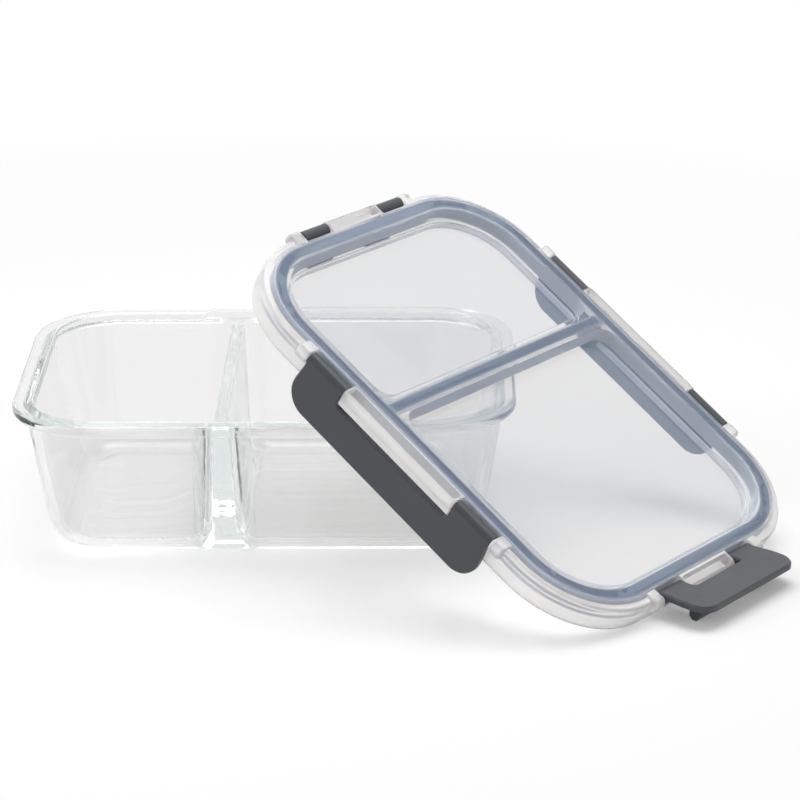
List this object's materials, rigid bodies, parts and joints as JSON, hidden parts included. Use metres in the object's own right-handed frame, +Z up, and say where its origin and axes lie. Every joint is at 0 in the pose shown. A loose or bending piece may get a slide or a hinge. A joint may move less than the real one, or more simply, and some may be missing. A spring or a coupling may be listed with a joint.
{
  "type": "bento lunch box",
  "caption": "Glass lunch box with two compartments and a clear latching lid, shown off the dish: it leans on the rim with one latch swung open.",
  "frame": {"origin": "centre of the glass dish's flat base, on the surface it stands on", "axes": "+X along the dish towards the end where the lid leans, +Y to the dish's back, +Z up"},
  "size_m": [0.3367, 0.2466, 0.1342],
  "materials": {
    "dish_glass": "clear pressed glass",
    "lid_plastic": "clear to milky moulded plastic",
    "seal_silicone": "satin silicone",
    "latch_plastic": "satin moulded plastic"
  },
  "bodies": {
    "dish": {"glass_dish": "dish_glass"},
    "lid": {"lid_shell": "lid_plastic", "perimeter_seal": "seal_silicone", "divider_seal": "seal_silicone"},
    "right_latch": {"right_latch": "latch_plastic"},
    "back_latch": {"back_latch": "latch_plastic"},
    "left_latch": {"left_latch": "latch_plastic"},
    "front_latch": {"front_latch": "latch_plastic"}
  },
  "joints": [
    {"name": "lid_lift", "type": "slide", "parent": "dish", "child": "lid", "axis": [0, 0, 1], "range_m": [0, 0.15]},
    {"name": "right_latch_hinge", "type": "hinge", "parent": "lid", "child": "right_latch", "pos_m": [0.18912, -0.11046, 0.00891], "axis": [-0.6072, -0.7945, 0], "range_deg": [-119.66, 30.34]},
    {"name": "back_latch_hinge", "type": "hinge", "parent": "lid", "child": "back_latch", "pos_m": [0.16563, 0.01599, 0.06976], "axis": [0.6699, -0.512, -0.5376], "range_deg": [0, 150]},
    {"name": "left_latch_hinge", "type": "hinge", "parent": "lid", "child": "left_latch", "pos_m": [0.03744, 0.00547, 0.13062], "axis": [0.6072, 0.7945, 0], "range_deg": [0, 150]},
    {"name": "front_latch_hinge", "type": "hinge", "parent": "lid", "child": "front_latch", "pos_m": [0.06094, -0.12098, 0.06976], "axis": [-0.6699, 0.512, 0.5376], "range_deg": [0, 150]}
  ]
}
